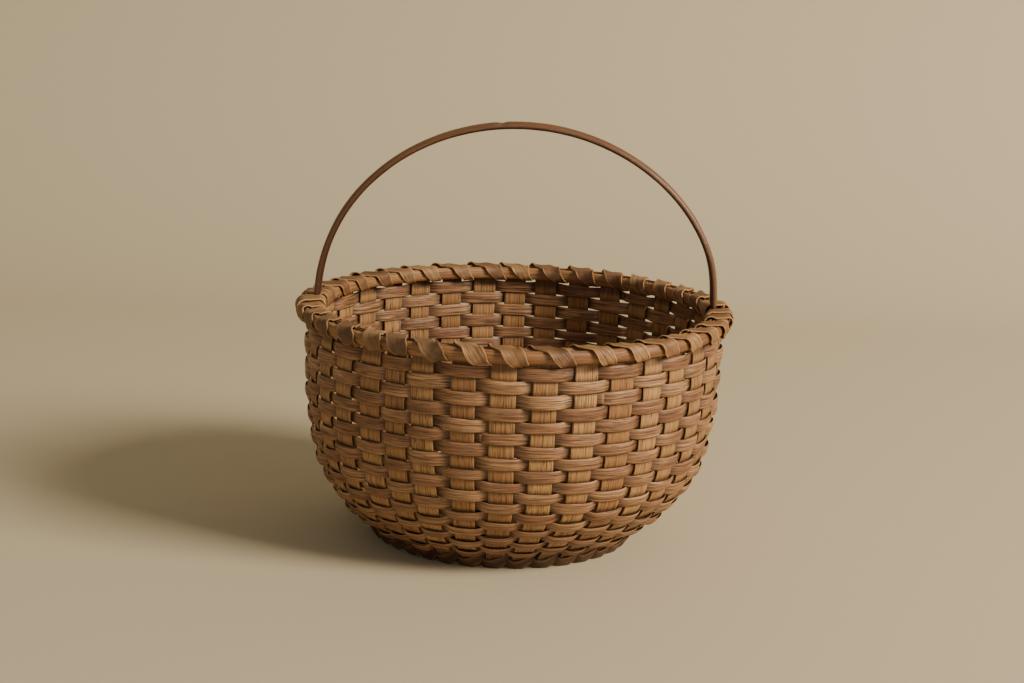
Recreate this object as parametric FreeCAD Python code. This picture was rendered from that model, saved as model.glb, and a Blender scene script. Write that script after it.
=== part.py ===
"""Round splint basket with a bent bow handle: stakes, woven rows, twined foot, rim hoops and lashing.

Row frame in millimetres: +Z up, origin on the ground under the middle of the basket, handle legs on the X axis.
Every splint is a ribbon of its own. Stakes stay on one middle surface, and the weavers bend round them.
"""
import FreeCAD
import Part
import math
import os

Vector = FreeCAD.Vector

# ---- Driving dimensions, overall ----
rim_radius = 155.6            # outer face of the outer hoop
rim_height = 171.0            # top of the hoops above the ground
handle_rise = 133.5           # top of the handle above the hoops
base_radius = 96.0            # stakes' middle surface where the foot is twined on
foot_height = 5.9             # and its height there
disc_height = 3.8             # middle of the outer base's stakes above the ground

# ---- Splints ----
splint_count = 18             # each runs from rim to rim under the base, so it gives two stakes
stake_thickness = 1.2
stake_waist_thickness = 0.55  # scraped thin where all of them cross
stake_width_rim = 15.5
stake_width_foot = 10.6
stake_width_disc = 9.4
stake_width_waist = 5.0
stake_end_gap = 0.5           # stake ends stop this far under the hoops' top
weaver_thickness = 0.9
weave_clearance = 0.34         # air between a weaver and the middle of a stake's face
layer_clearance = 0.16        # air between two weavers, or two stakes, that lie on each other
row_gap = 0.4                 # air between neighbouring rows
row_end_gap = 0.6             # between the ends of a row that is butted, not overlapped
stations_per_stake = 8        # how finely a row's wave is drawn
foot_stations_per_stake = 12
base_station_length = 2.5     # between a stake's stations in the base and the turn up
wall_station_length = 6.0     # and up the wall

# ---- Rows ----
side_row_count = 19
side_pitch_share = 0.80       # lowest row's pitch as a share of the top one's
row_overlap_stakes = 2        # a row's ends overlap behind this many stakes
row_start_step = 11           # each row starts this many stakes further round
first_row_start = 5           # stake after which the top row starts
rim_row_start = 7
edge_row_start = 3
edge_row_start_step = 13
disc_row_start_step = 5       # in stakes of one disc
inner_disc_row_start = 2
lap_margin = 0.15             # share of a stake's pitch past a lap where the rows still lie apart
lap_ease = 0.7                # and over which they come together again
disc_pitch = 5.6
disc_first_radius = 29.0
outer_disc_rows = 7
inner_disc_rows = 6
edge_row_count = 3            # rows over all the stakes between the discs and the foot
edge_pitch = 4.9

# ---- Base ----
waist_radius = 15.5           # stakes lie in a stack inside this radius
waist_end_radius = 26.5       # and in their own disc outside this one
disc_layer_gap = 6.6          # inner disc's middle above the outer disc's
inner_disc_end = 62.5         # the inner disc's stakes come down to the common surface from here
common_start = 74.0           # to here

# ---- Foot ----
foot_width = 8.4
foot_pinch_width = 4.5
foot_inside_width = 5.0
foot_rise = 2.7               # how far a strand climbs or dips where the two cross
foot_inside_rise = 1.3        # a strand's lower edge inside the stakes, above where they're steepest
foot_clearance = 0.15         # extra air between the strands and the stakes
foot_cut = 0.35               # how much the ground has worn off the strands' lowest edges

# ---- Rim ----
hoop_height = 9.0
outer_hoop_thickness = 4.4
inner_hoop_thickness = 4.0
hoop_section = (              # shares of the thickness and half height, round the section
    (0.0, -1.0), (0.4, -1.0), (0.82, -0.74), (1.0, -0.32), (1.0, 0.32), (0.82, 0.74), (0.4, 1.0), (0.0, 1.0))
hoop_steps = 120
hoop_tip_share = 0.2          # thickness of a hoop's ends, as a share of its own
hoop_clearance = 0.4
hoop_scarf_length = 34.0
hoop_scarf_gap = 0.3
hoop_scarf_ease = 0.4         # share of the scarf's length over which the hoop comes to its full thickness
outer_hoop_scarf_angle = math.radians(40)
inner_hoop_scarf_angle = math.radians(230)
same_way = 1                  # both edges of a ruled face run the same way
stations_per_face = 16        # a strip's long faces are made in pieces of this many stations
rim_row_width = 7.6
filler_thickness = 1.3
filler_height = 7.0
filler_drop = 0.6             # filler's top below the hoops' top
filler_end_gap = 1.5          # filler's ends from the handle's leg
lash_side_clearance = 0.55    # lashing's edges from the stakes, where it passes between them
lash_thickness = 0.7
lash_clearance = 0.06         # lashing's edges from the inner hoop's hollow face
lash_corner = 3.0             # rounding of the wraps at the hoops' edges
lash_straight_share = 0.13    # share of a turn, each side of the bottom pass, with no advance
binding_clearance = 0.02      # handle's bindings from the lashing's edges, where those stand highest
lash_stations = 28            # to one wrap
lash_end_trim = 0.02          # share of a wrap left off each end of a lashing
rim_slot_clearance = 0.17     # top row from the bindings, under the hoops

# ---- Handle ----
handle_width = 13.0
handle_thickness = 4.9
handle_notch_thickness = 2.2  # left standing where the inner hoop is let in
handle_clearance = 0.25
tail_thickness = 1.8
tail_width = 11.0
tail_end_width = 8.0
tail_length = 78.0            # below the hoops, along the wall
shoulder_length = 3.0
shoulder_taper = 9.0
shoulder_inset = 0.8          # shoulder's inner face from the inner hoop's
bow_stations = 48
leg_station_length = 3.0

# ---- Worked out from the above ----
stake_count = 2 * splint_count
stake_step = 2.0 * math.pi / stake_count
wave_sharpness = 2.2


def wave(phase):
    """Flattened cosine from 1 outside a stake to -1 inside the next one."""
    return math.tanh(wave_sharpness * math.cos(phase)) / math.tanh(wave_sharpness)


def swing(pitch, stake_width):
    """How far a weaver's middle stands off the stakes' middle, so that it clears a stake's edges."""
    edge = wave(math.pi * stake_width / 2 / pitch)
    return ((stake_thickness + weaver_thickness) / 2 + weave_clearance) / edge


def layer_step(pitch, reach):
    """How far a weaver's lapped end stands off the one under it, so that they clear where they lean most."""
    steepest = reach * wave_sharpness / math.tanh(wave_sharpness) * math.pi / pitch
    return (weaver_thickness + layer_clearance) * math.hypot(1.0, steepest)


def smooth(t):
    """0 up to t = 0, 1 from t = 1, and a smooth ramp between."""
    t = min(1.0, max(0.0, t))
    return t * t * (3 - 2 * t)


def ramp(x, x0, y0, x1, y1):
    return y0 + (y1 - y0) * smooth((x - x0) / (x1 - x0))


def stake_width(radius):
    """Width of a stake by its distance from the basket's axis."""
    if radius < waist_end_radius:
        return stake_width_waist
    if radius < 2 * waist_end_radius:
        return ramp(radius, waist_end_radius, stake_width_waist, 2 * waist_end_radius, stake_width_disc)
    if radius < base_radius:
        return ramp(radius, 2 * waist_end_radius, stake_width_disc, base_radius, stake_width_foot)
    return ramp(radius, base_radius, stake_width_foot, wall_radius, stake_width_rim)


# ---- The stakes' middle surface, as a profile of radius and height ----
# Rim stack from outside in: outer hoop, weaver, stake, weaver, handle's notch, inner hoop.
outer_hoop_inside = rim_radius - outer_hoop_thickness
rim_pitch = outer_hoop_inside * stake_step
rim_reach = swing(rim_pitch, stake_width_rim)
wall_radius = outer_hoop_inside - hoop_clearance - weaver_thickness / 2 - rim_reach
wall_height = rim_height - stake_end_gap
flare = wall_radius - base_radius
turn_up_radius = base_radius + 0.23 * flare
profile_shape = (
    (0.0, disc_height),
    (0.35 * base_radius, disc_height),
    (0.70 * base_radius, disc_height),
    (base_radius - 9.0, disc_height),
    (base_radius - 2.4, disc_height + 0.9),
    (base_radius, foot_height),
    (base_radius + 1.9, foot_height + 2.8),
    (base_radius + 0.130 * flare, 0.076 * wall_height),
    (base_radius + 0.270 * flare, 0.114 * wall_height),
    (base_radius + 0.450 * flare, 0.168 * wall_height),
    (base_radius + 0.765 * flare, 0.305 * wall_height),
    (base_radius + 0.935 * flare, 0.505 * wall_height),
    (base_radius + 1.005 * flare, 0.755 * wall_height),
    (wall_radius, wall_height),
)


class Profile:
    """The stakes' middle line from the basket's axis to the rim, measured along its length."""

    def __init__(self, points):
        self.curve = Part.BSplineCurve()
        self.curve.interpolate([Vector(r, 0, z) for r, z in points])
        self.length = self.curve.length()

    def at(self, s):
        """Radius, height, tangent and outward normal at a distance s from the axis."""
        u = self.curve.parameterAtDistance(min(max(s, 0.0), self.length), self.curve.FirstParameter)
        point = self.curve.value(u)
        tangent = self.curve.tangent(u)[0]
        return point.x, point.z, (tangent.x, tangent.z), (tangent.z, -tangent.x)

    def at_radius(self, radius):
        low, high = 0.0, self.length
        for _ in range(40):
            middle = (low + high) / 2
            if self.at(middle)[0] < radius:
                low = middle
            else:
                high = middle
        return (low + high) / 2


profile = Profile(profile_shape)


def polar(radius, angle, height):
    return Vector(radius * math.cos(angle), radius * math.sin(angle), height)


def turned(radial, height, angle):
    """A direction given by its radial and vertical shares, turned to an angle round the axis."""
    return Vector(radial * math.cos(angle), radial * math.sin(angle), height)


def skin(loops):
    """A solid through closed loops of corners, each corner carried smoothly from one loop to the next."""
    count = len(loops[0])
    centres = [sum(loop, Vector()) / count for loop in loops]
    knots = [0.0]
    for here, after in zip(centres, centres[1:]):
        knots.append(knots[-1] + (after - here).Length)
    curves = []
    for corner in range(count):
        curve = Part.BSplineCurve()
        curve.interpolate(Points=[loop[corner] for loop in loops], Parameters=knots)
        curves.append(curve)
    parts = max(1, round((len(loops) - 1) / stations_per_face))
    cuts = [knots[round(i * (len(knots) - 1) / parts)] for i in range(parts + 1)]
    faces = []
    for low, high in zip(cuts, cuts[1:]):
        edges = []
        for curve in curves:
            piece = curve.copy()
            piece.segment(low, high)
            edges.append(piece.toShape())
        faces += [Part.makeRuledSurface(edges[i], edges[(i + 1) % count], same_way) for i in range(count)]
    for loop in (loops[0], loops[-1]):
        faces.append(Part.Face(Part.makePolygon(loop + loop[:1])))
    shell = Part.makeShell(faces)
    shell.sewShape()
    solid = Part.makeSolid(Part.Shell(shell.Faces))
    if solid.Volume < 0:
        solid.reverse()
    return solid


def ribbon(stations):
    """A solid strip through (middle, half width vector, half thickness vector) stations."""
    return skin([[m + w + t, m - w + t, m - w - t, m + w - t] for m, w, t in stations])


def row(spot, width, count, first_outside, start, first_angle=0.0, bulges=None, lapped=True):
    """One woven row: a strip that passes outside and inside the stakes in turn, its two ends overlapped.

    spot is the profile's radius, height, tangent and normal at the row's middle, count the number of
    stakes it passes, and bulges the extra room inside a stake, by the stake's number.
    """
    radius, height, along, out = spot
    step = 2 * math.pi / count
    pitch = radius * step
    reach = swing(pitch, stake_width(radius))
    layer = layer_step(pitch, reach)
    sign = 1 if first_outside else -1
    stakes_over = row_overlap_stakes if lapped else -row_end_gap / pitch
    lap = stakes_over * step
    begin = first_angle + (start + 0.5) * step
    end = begin + 2 * math.pi + lap
    total = round(stations_per_stake * (count + stakes_over))

    def offset(angle):
        side = sign * wave((angle - first_angle) / step * math.pi)
        lower = lapped - lapped * smooth((angle - begin - lap - lap_margin * step) / (lap_ease * step))
        upper = lapped * smooth((angle - begin - 2 * math.pi + (lap_margin + lap_ease) * step) / (lap_ease * step))
        value = reach * side - layer * (1 - side) / 2 * lower + layer * (1 + side) / 2 * upper
        for number, extra in (bulges or {}).items():
            turn = (angle - first_angle - number * step + math.pi) % (2 * math.pi) - math.pi
            if side < 0 and abs(turn) < step:
                value += extra * side * math.cos(turn / step * math.pi / 2) ** 2
        return value

    stations = []
    for i in range(total + 1):
        angle = begin + (end - begin) * i / total
        here = offset(angle)
        slope = (offset(angle + 1e-4) - offset(angle - 1e-4)) / 2e-4 / radius
        lean = math.atan(slope)
        middle = polar(radius + out[0] * here, angle, height + out[1] * here)
        across = turned(along[0], along[1], angle) * (width / 2)
        sideways = Vector(-math.sin(angle), math.cos(angle), 0)
        normal = turned(out[0], out[1], angle) * math.cos(lean) - sideways * math.sin(lean)
        stations.append((middle, across, normal * (weaver_thickness / 2)))
    return ribbon(stations)


# ---- Where the rows lie along the stakes ----
hoop_bottom = rim_height - hoop_height


def length_at_height(height):
    low, high = profile.at_radius(base_radius), profile.length
    for _ in range(40):
        middle = (low + high) / 2
        if profile.at(middle)[1] < height:
            low = middle
        else:
            high = middle
    return (low + high) / 2


# ---- Stakes ----
def stack_level(number):
    """Height of a splint's middle over its disc's plane where all the splints cross."""
    step = stake_waist_thickness + layer_clearance / 2
    order = number // 2
    if number % 2 == 0:
        return order * step
    clear_of_outer = (splint_count // 2) * step - disc_layer_gap
    return clear_of_outer + order * step


def splint(number):
    """A splint from rim to rim: number even lies in the outer disc, odd in the inner one."""
    angle = number * stake_step
    level = stack_level(number)
    inner = number % 2 == 1
    across = Vector(-math.sin(angle), math.cos(angle), 0)
    half = []
    s = 0.0
    while s < profile.length - base_station_length / 2:
        half.append(s)
        s += base_station_length if profile.at(s)[0] < turn_up_radius else wall_station_length
    half.append(profile.length)
    lengths = [-x for x in reversed(half[1:])] + half
    stations = []
    for s in lengths:
        radius, height, along, out = profile.at(abs(s))
        way = 1 if s >= 0 else -1
        lift = level * (1 - smooth((radius - waist_radius) / (waist_end_radius - waist_radius)))
        if inner:
            lift += disc_layer_gap * (1 - smooth((radius - inner_disc_end) / (common_start - inner_disc_end)))
        thick = ramp(radius, waist_radius, stake_waist_thickness, waist_end_radius, stake_thickness)
        middle = polar(radius * way, angle, height + lift)
        normal = turned(out[0] * way, out[1], angle)
        stations.append((middle, across * (stake_width(radius) / 2), normal * (thick / 2)))
    return ribbon(stations)


# ---- Twined foot ----
def steepest_place():
    """Where the stakes turn up most steeply, just outside the base."""
    start = profile.at_radius(base_radius - 4)
    places = [start + 0.1 * i for i in range(100)]
    return max(places, key=lambda s: profile.at(s)[2][1])


foot_line = steepest_place()
foot_spot = profile.at(foot_line)
foot_reach = swing(foot_spot[0] * stake_step, stake_width(foot_spot[0])) + foot_clearance
foot_inside_climb = foot_inside_width / 2 + foot_inside_rise


def foot_middle(angle, sign, outside_climb):
    """Middle of a strand: it lies on the straight line that touches the stakes where they're steepest."""
    radius, height, along, out = foot_spot
    phase = angle / stake_step * math.pi
    outside = sign * math.cos(phase)
    share = (1 + outside) / 2
    climb = foot_inside_climb + (outside_climb - foot_inside_climb) * share + sign * foot_rise * math.sin(phase)
    off = sign * foot_reach * wave(phase)
    return radius + along[0] * climb + out[0] * off, height + along[1] * climb + out[1] * off, outside


def foot_stations(sign, begin, end, total, outside_climb):
    radius, height, along, out = foot_spot
    stations = []
    for i in range(total + 1):
        angle = begin + (end - begin) * i / total
        r, z, outside = foot_middle(angle, sign, outside_climb)
        slope = foot_reach * (wave((angle + 1e-4) / stake_step * math.pi) - wave((angle - 1e-4) / stake_step * math.pi))
        lean = math.atan(sign * slope / 2e-4 / radius)
        widest = foot_width if outside > 0 else foot_inside_width
        half_width = (foot_pinch_width + (widest - foot_pinch_width) * outside ** 2) / 2
        sideways = Vector(-math.sin(angle), math.cos(angle), 0)
        normal = turned(out[0], out[1], angle) * math.cos(lean) - sideways * math.sin(lean)
        across = turned(along[0], along[1], angle) * half_width
        stations.append((polar(r, angle, z), across, normal * (weaver_thickness / 2)))
    return stations


def foot_outside_climb():
    """Where the outside passes lie on that line, so that a strand's lowest edge comes to the worn depth."""
    climb = 0.0
    for _ in range(12):
        stations = foot_stations(1, -stake_step, stake_step, 4 * foot_stations_per_stake, climb)
        lowest = min((m + w * side + t * face).z for m, w, t in stations for side in (-1, 1) for face in (-1, 1))
        climb -= (lowest + foot_cut) / foot_spot[2][1]
    return climb


def foot_strand(which):
    """One of two strands twisted about each other, half a turn from stake to stake, worn flat on the ground."""
    gap = row_end_gap / foot_spot[0]
    begin = (0.5 + which * splint_count) * stake_step + gap
    end = begin + 2 * math.pi - 2 * gap
    strand = ribbon(foot_stations(1 - 2 * which, begin, end, foot_stations_per_stake * stake_count, foot_outside_climb()))
    size = 4 * rim_radius
    ground = Part.makeBox(size, size, rim_height, Vector(-size / 2, -size / 2, -rim_height))
    return strand.cut(ground)


def side_rows():
    """(middle along the stakes, pitch) of each side row, the top one first, filling the wall above the foot."""
    edge = length_at_height(top_row_edge)
    room = edge - foot_top
    top_pitch = room / side_row_count / ((1 + side_pitch_share) / 2)
    places = []
    for i in range(side_row_count):
        pitch = top_pitch * (1 + (side_pitch_share - 1) * i / (side_row_count - 1))
        places.append((edge - pitch / 2, pitch))
        edge -= pitch
    return places


foot_top = foot_line + foot_inside_climb + foot_inside_width / 2 + row_gap


# ---- Rim ----
rim_spot = profile.at(length_at_height(rim_height - hoop_height / 2))
rim_middle = rim_spot[0]
leg_outside = rim_middle - rim_reach - weaver_thickness / 2 - handle_clearance
leg_notch = leg_outside - handle_notch_thickness
inner_hoop_outside = leg_notch - handle_clearance
inner_hoop_inside = inner_hoop_outside - inner_hoop_thickness


def outline_height(across):
    """Half height of a hoop's section, as a share, by the share of its thickness from the flat face."""
    upper = hoop_section[len(hoop_section) // 2:]
    for (x0, y0), (x1, y1) in zip(upper, upper[1:]):
        if x1 <= across <= x0:
            return y0 + (y1 - y0) * (across - x0) / (x1 - x0)
    return upper[-1][1]


def hoop(flat_radius, round_radius, first_angle):
    """A hoop with one flat face against the stakes, a rounded face, and its two thinned ends lapped."""
    thick = round_radius - flat_radius
    lap = hoop_scarf_length / abs(round_radius)
    step = hoop_tip_share + hoop_scarf_gap / abs(thick)
    slant = 1 - hoop_tip_share - step
    ease = hoop_scarf_ease
    loops = []
    steps = hoop_steps + round(hoop_steps * lap / (2 * math.pi))
    for i in range(steps + 1):
        turn = (2 * math.pi + lap) * i / steps
        angle = first_angle + turn
        after_start = turn / lap
        after_end = (turn - 2 * math.pi) / lap
        start_cut = 1 - hoop_tip_share - slant * min(after_start, 1) - step * smooth((after_start - 1) / ease)
        end_cut = step * smooth((after_end + ease) / ease) + slant * max(after_end, 0)
        loop = []
        for x, y in hoop_section:
            across = start_cut + (1 - end_cut - start_cut) * x
            up = math.copysign(min(abs(y), outline_height(across)), y)
            loop.append(polar(flat_radius + thick * across, angle, rim_height - hoop_height / 2 * (1 - up)))
        loops.append(loop)
    return skin(loops)


def filler(from_stake, to_stake):
    """A thin splint stood on edge between the inner hoop and the weaving, from one handle leg to the other."""
    radius = inner_hoop_outside + filler_thickness / 2 + hoop_clearance
    gap = (handle_width / 2 + filler_end_gap) / radius
    begin = from_stake * stake_step + gap
    end = to_stake * stake_step - gap
    steps = 4 * (to_stake - from_stake)
    stations = []
    for i in range(steps + 1):
        angle = begin + (end - begin) * i / steps
        spot = polar(radius, angle, rim_height - filler_drop - filler_height / 2)
        stations.append((spot, Vector(0, 0, filler_height / 2), turned(1, 0, angle) * (filler_thickness / 2)))
    return ribbon(stations)


lash_middle_radius = (rim_radius + inner_hoop_inside) / 2
lash_middle_height = rim_height - hoop_height / 2
lash_width = lash_middle_radius * stake_step - stake_width_rim - 2 * lash_side_clearance
lash_chord_depth = lash_width ** 2 / (8 * inner_hoop_inside)   # the inner hoop's hollow over the lashing's width
lash_stand = lash_clearance + lash_chord_depth + lash_thickness / 2
lash_half_radial = (rim_radius - inner_hoop_inside) / 2 + lash_stand
lash_half_vertical = hoop_height / 2 + lash_stand
lash_path_corner = lash_corner + lash_stand
lash_run = 4 * (lash_half_radial + lash_half_vertical) - (8 - 2 * math.pi) * lash_path_corner


def lash_edge_stand():
    """How far the lashing's straight edges stand off the hoops' rounded top corners, where it crosses them aslant."""
    to_corner = lash_half_radial + 2 * lash_half_vertical + (0.75 * math.pi - 3) * lash_path_corner
    free = 1 - 2 * lash_straight_share
    done = (to_corner / lash_run - lash_straight_share) / free
    advance = 6 * done * (1 - done) / free * lash_middle_radius * stake_step / lash_run
    reach = lash_width / 2 * math.sin(math.atan(advance))
    return (lash_path_corner + reach) * math.sin(math.pi / 4) - lash_path_corner


binding_lift = lash_thickness + lash_edge_stand() + binding_clearance   # from the lashing's middle to a binding's
top_row_edge = hoop_bottom - lash_stand - binding_lift - lash_thickness / 2 - rim_slot_clearance
side_places = side_rows()


def section_point(share, half_radial, half_vertical, corner):
    """A point and outward normal on a rounded rectangle, by its share of the way round.

    It starts under the middle, and goes in, up, over the top, and down the outside.
    """
    flat_r, flat_z = half_radial - corner, half_vertical - corner
    arc = math.pi / 2 * corner
    legs = [("line", flat_r), ("arc", arc), ("line", 2 * flat_z), ("arc", arc), ("line", 2 * flat_r),
            ("arc", arc), ("line", 2 * flat_z), ("arc", arc), ("line", flat_r)]
    left = (share % 1.0) * sum(length for _, length in legs)
    x, z, heading = 0.0, -half_vertical, math.pi
    for kind, length in legs:
        used = min(left, length)
        if kind == "line":
            x += used * math.cos(heading)
            z += used * math.sin(heading)
        else:
            turn = -used / corner
            centre_x = x + corner * math.cos(heading - math.pi / 2)
            centre_z = z + corner * math.sin(heading - math.pi / 2)
            x = centre_x - corner * math.cos(heading - math.pi / 2 + turn)
            z = centre_z - corner * math.sin(heading - math.pi / 2 + turn)
            heading += turn
        left -= used
        if left <= 1e-12:
            break
    return x, z, math.cos(heading + math.pi / 2), math.sin(heading + math.pi / 2)


def wrap_size(layer):
    """Half sizes and corner of the path of a wrap, layer 0 on the hoops and layer 1 over the lashing's edges."""
    lift = layer * binding_lift
    return lash_half_radial + lift, lash_half_vertical + lift, lash_path_corner + lift


def lashing(first_gap):
    """A splint wound round both hoops, one wrap to a stake, from one handle leg to the other."""
    wraps = splint_count - 1
    size = wrap_size(0)

    def place(u):
        whole = math.floor(u)
        share = u - whole
        free = 1 - 2 * lash_straight_share
        advance = smooth((share - lash_straight_share) / free)
        angle = (first_gap + 0.5 + whole + advance) * stake_step
        x, z, nx, nz = section_point(share, *size)
        middle = polar(lash_middle_radius + x, angle, lash_middle_height + z)
        return middle, turned(nx, nz, angle)

    stations = []
    for i in range(wraps * lash_stations + 1):
        u = min(max(i / lash_stations, lash_end_trim), wraps - lash_end_trim)
        middle, normal = place(u)
        before = place(max(u - lash_end_trim / 4, 0.0))[0]
        after = place(u + lash_end_trim / 4)[0]
        tangent = after - before
        tangent.normalize()
        across = tangent.cross(normal)
        across.normalize()
        stations.append((middle, across * (lash_width / 2), normal * (lash_thickness / 2)))
    return ribbon(stations)


def binding(leg_angle):
    """Two bands over the rim, one each side of a handle leg, on top of the lashing's first wrap."""
    half_radial, half_vertical, corner = wrap_size(1)
    bands = []
    for side in (-1, 1):
        loops = []
        for grow in (lash_thickness / 2, -lash_thickness / 2):
            loops.append(rounded_loop(half_radial + grow, half_vertical + grow, corner + grow))
        face = Part.Face(loops[0]).cut(Part.Face(loops[1]))
        band = face.extrude(Vector(0, lash_width, 0))
        band.translate(Vector(lash_middle_radius, -lash_width / 2, lash_middle_height))
        turn = math.degrees(leg_angle + side * stake_step / 2)
        band.rotate(Vector(0, 0, 0), Vector(0, 0, 1), turn)
        bands.append(band.Solids[0])
    return Part.makeCompound(bands)


def rounded_loop(half_x, half_z, corner):
    """A closed rounded rectangle about the origin in the XZ plane."""
    edges = []
    quarter = ((1, 1, 0), (-1, 1, 90), (-1, -1, 180), (1, -1, 270))
    ends = []
    for sx, sz, start in quarter:
        centre = Vector(sx * (half_x - corner), 0, sz * (half_z - corner))
        pts = []
        for degrees in (start, start + 45, start + 90):
            a = math.radians(degrees)
            pts.append(centre + Vector(corner * math.cos(a), 0, corner * math.sin(a)))
        ends.append(pts)
    for i, pts in enumerate(ends):
        edges.append(Part.Arc(*pts).toShape())
        edges.append(Part.LineSegment(pts[2], ends[(i + 1) % 4][0]).toShape())
    return Part.Wire(edges)


# ---- Handle ----
def handle():
    """A bent bow: half an ellipse over the rim, notched for the inner hoop, with a thin tail inside the wall."""
    stations = []
    tail_top = length_at_height(hoop_bottom)
    full = handle_thickness
    shoulder = leg_outside - inner_hoop_inside - shoulder_inset

    def leg_station(s, way):
        """A station on the straight leg or the tail, by the length along the stakes' profile."""
        radius, height, along, out = profile.at(s)
        below = tail_top - s
        if below <= 0:
            outside, thick, wide = leg_outside, full, handle_width
            middle_radius = outside - thick / 2
            return Vector(way * middle_radius, 0, height), wide, Vector(way, 0, 0), thick
        slip = smooth((below - shoulder_length) / shoulder_taper)
        thick = shoulder + (tail_thickness - shoulder) * slip
        stand_rim = radius - leg_outside
        stand_tail = stake_thickness / 2 + handle_clearance
        stand = stand_rim + (stand_tail - stand_rim) * slip + thick / 2
        wide = tail_width + (tail_end_width - tail_width) * smooth(below / tail_length)
        wide = handle_width + (wide - handle_width) * slip
        tilt = Vector(out[0], 0, out[1]) * slip + Vector(1, 0, 0) * (1 - slip)
        tilt.normalize()
        middle = Vector(radius, 0, height) - tilt * stand
        return Vector(way * middle.x, 0, middle.z), wide, Vector(way * tilt.x, 0, tilt.z), thick

    lengths = []
    s = tail_top - tail_length
    while s < tail_top + 0.5:
        lengths.append(s)
        s += leg_station_length
    lengths.append(tail_top + hoop_height / 2)
    left = [leg_station(s, -1) for s in lengths]
    right = [leg_station(s, 1) for s in reversed(lengths)]
    bow = []
    half_width = leg_outside - full / 2
    bow_height = handle_rise - full / 2
    for i in range(bow_stations + 1):
        a = math.pi * (1 - i / bow_stations)
        point = Vector(half_width * math.cos(a), 0, rim_height + bow_height * math.sin(a))
        outward = Vector(math.cos(a) * bow_height, 0, math.sin(a) * half_width)
        outward.normalize()
        bow.append((point, handle_width, outward, full))
    for point, wide, outward, thick in left + bow + right:
        stations.append((point, Vector(0, wide / 2, 0), outward * (thick / 2)))
    body = ribbon(stations)
    tool = Part.makeCylinder(leg_notch, hoop_height + 2 * handle_clearance,
                             Vector(0, 0, hoop_bottom - handle_clearance))
    core = Part.makeCylinder(inner_hoop_inside - 2 * handle_thickness, 3 * hoop_height,
                             Vector(0, 0, hoop_bottom - hoop_height))
    return body.cut(tool.cut(core))


def tail_bulges(place):
    """Extra room at the handle's tails for a row at this length along the stakes."""
    top = length_at_height(hoop_bottom)
    if top - tail_length - side_places[0][1] < place < top:
        room = tail_thickness + 2 * handle_clearance
        return {0: room, splint_count: room}
    return {}


def export(name, shape):
    solids = shape.Solids
    good = all(s.isValid() and s.isClosed() and s.Volume > 0 for s in solids)
    print(f"{name:26s} solids {len(solids):2d}  volume {sum(s.Volume for s in solids) / 1000:8.2f} cm3  valid {good}")
    shape.exportStep(f"parts/{name}.step")


def main():
    os.makedirs("parts", exist_ok=True)
    shapes = {}
    for number in range(splint_count):
        shapes[f"stake_splint_{number + 1:02d}"] = splint(number)
    for i, (place, pitch) in enumerate(side_places):
        outside_first = i % 2 == 0
        shapes[f"side_row_{i + 1:02d}"] = row(
            profile.at(place), pitch - row_gap, stake_count, outside_first,
            (first_row_start + row_start_step * i) % stake_count, bulges=tail_bulges(place) if not outside_first else None)
    shapes["rim_row"] = row(rim_spot, rim_row_width, stake_count, False, rim_row_start, lapped=False)
    shapes["foot_strand_a"] = foot_strand(0)
    shapes["foot_strand_b"] = foot_strand(1)
    edge_start = profile.at_radius(common_start) + edge_pitch / 2 + 2 * row_gap
    shapes["base_edge_rows"] = Part.makeCompound([
        row(profile.at(edge_start + i * edge_pitch), edge_pitch - row_gap, stake_count, i % 2 == 0,
            edge_row_start + edge_row_start_step * i)
        for i in range(edge_row_count)])
    flat = ((1.0, 0.0), (0.0, -1.0))
    outer_rows, inner_rows = [], []
    for i in range(outer_disc_rows):
        radius = disc_first_radius + i * disc_pitch
        spot = (radius, disc_height, *flat)
        outer_rows.append(row(spot, disc_pitch - row_gap, splint_count, i % 2 == 0, disc_row_start_step * i))
    for i in range(inner_disc_rows):
        radius = disc_first_radius + i * disc_pitch
        spot = (radius, disc_height + disc_layer_gap, *flat)
        start = inner_disc_row_start + disc_row_start_step * i
        inner_rows.append(row(spot, disc_pitch - row_gap, splint_count, i % 2 == 1, start, stake_step))
    shapes["outer_base_rows"] = Part.makeCompound(outer_rows)
    shapes["inner_base_rows"] = Part.makeCompound(inner_rows)
    shapes["outer_hoop"] = hoop(outer_hoop_inside, rim_radius, outer_hoop_scarf_angle)
    shapes["inner_hoop"] = hoop(inner_hoop_outside, inner_hoop_inside, inner_hoop_scarf_angle)
    shapes["rim_filler"] = Part.makeCompound([filler(0, splint_count), filler(splint_count, stake_count)])
    shapes["rim_lashing_back"] = lashing(0)
    shapes["rim_lashing_front"] = lashing(splint_count)
    shapes["handle_binding_right"] = binding(0.0)
    shapes["handle_binding_left"] = binding(math.pi)
    shapes["handle"] = handle()
    for name, shape in shapes.items():
        export(name, shape)
    return shapes


main()
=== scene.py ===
import math
import bpy
import numpy as np
from mathutils import Matrix, Vector


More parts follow.
